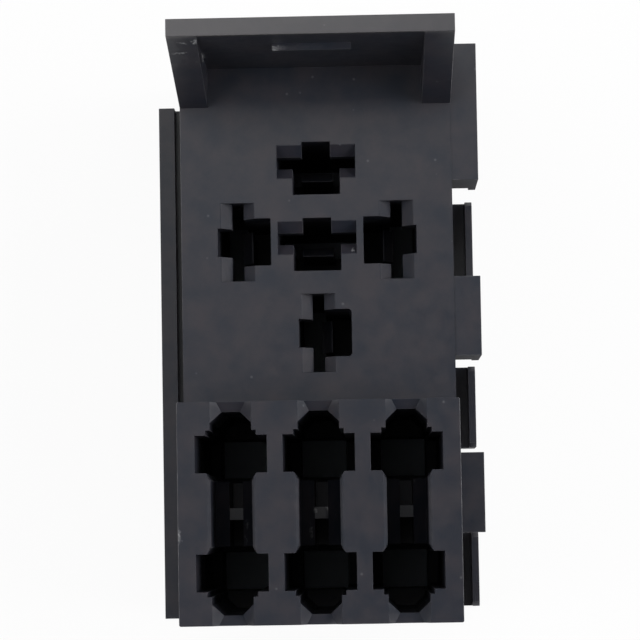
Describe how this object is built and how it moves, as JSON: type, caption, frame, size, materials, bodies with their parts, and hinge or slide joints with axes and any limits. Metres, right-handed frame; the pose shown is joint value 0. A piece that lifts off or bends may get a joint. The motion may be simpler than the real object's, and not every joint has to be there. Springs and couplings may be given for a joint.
{
  "type": "relay fuse holder box",
  "caption": "Moulded plastic holder with a blade-slot relay deck, a raised blade-fuse block, a guard hood, and side rail and hook channel that join holders in a row.",
  "frame": {"origin": "middle of the rear rim, on the surface the holder lies on", "axes": "+Z is the way the relay and the fuses pull out, +Y points to the hood end, +X to the side with the hook channel"},
  "size_m": [0.0342, 0.0608, 0.0406],
  "materials": {
    "black_plastic": "moulded matte black with a faint mottled grain and small scuffs"
  },
  "bodies": {
    "root": {"housing": "black_plastic"}
  },
  "joints": []
}
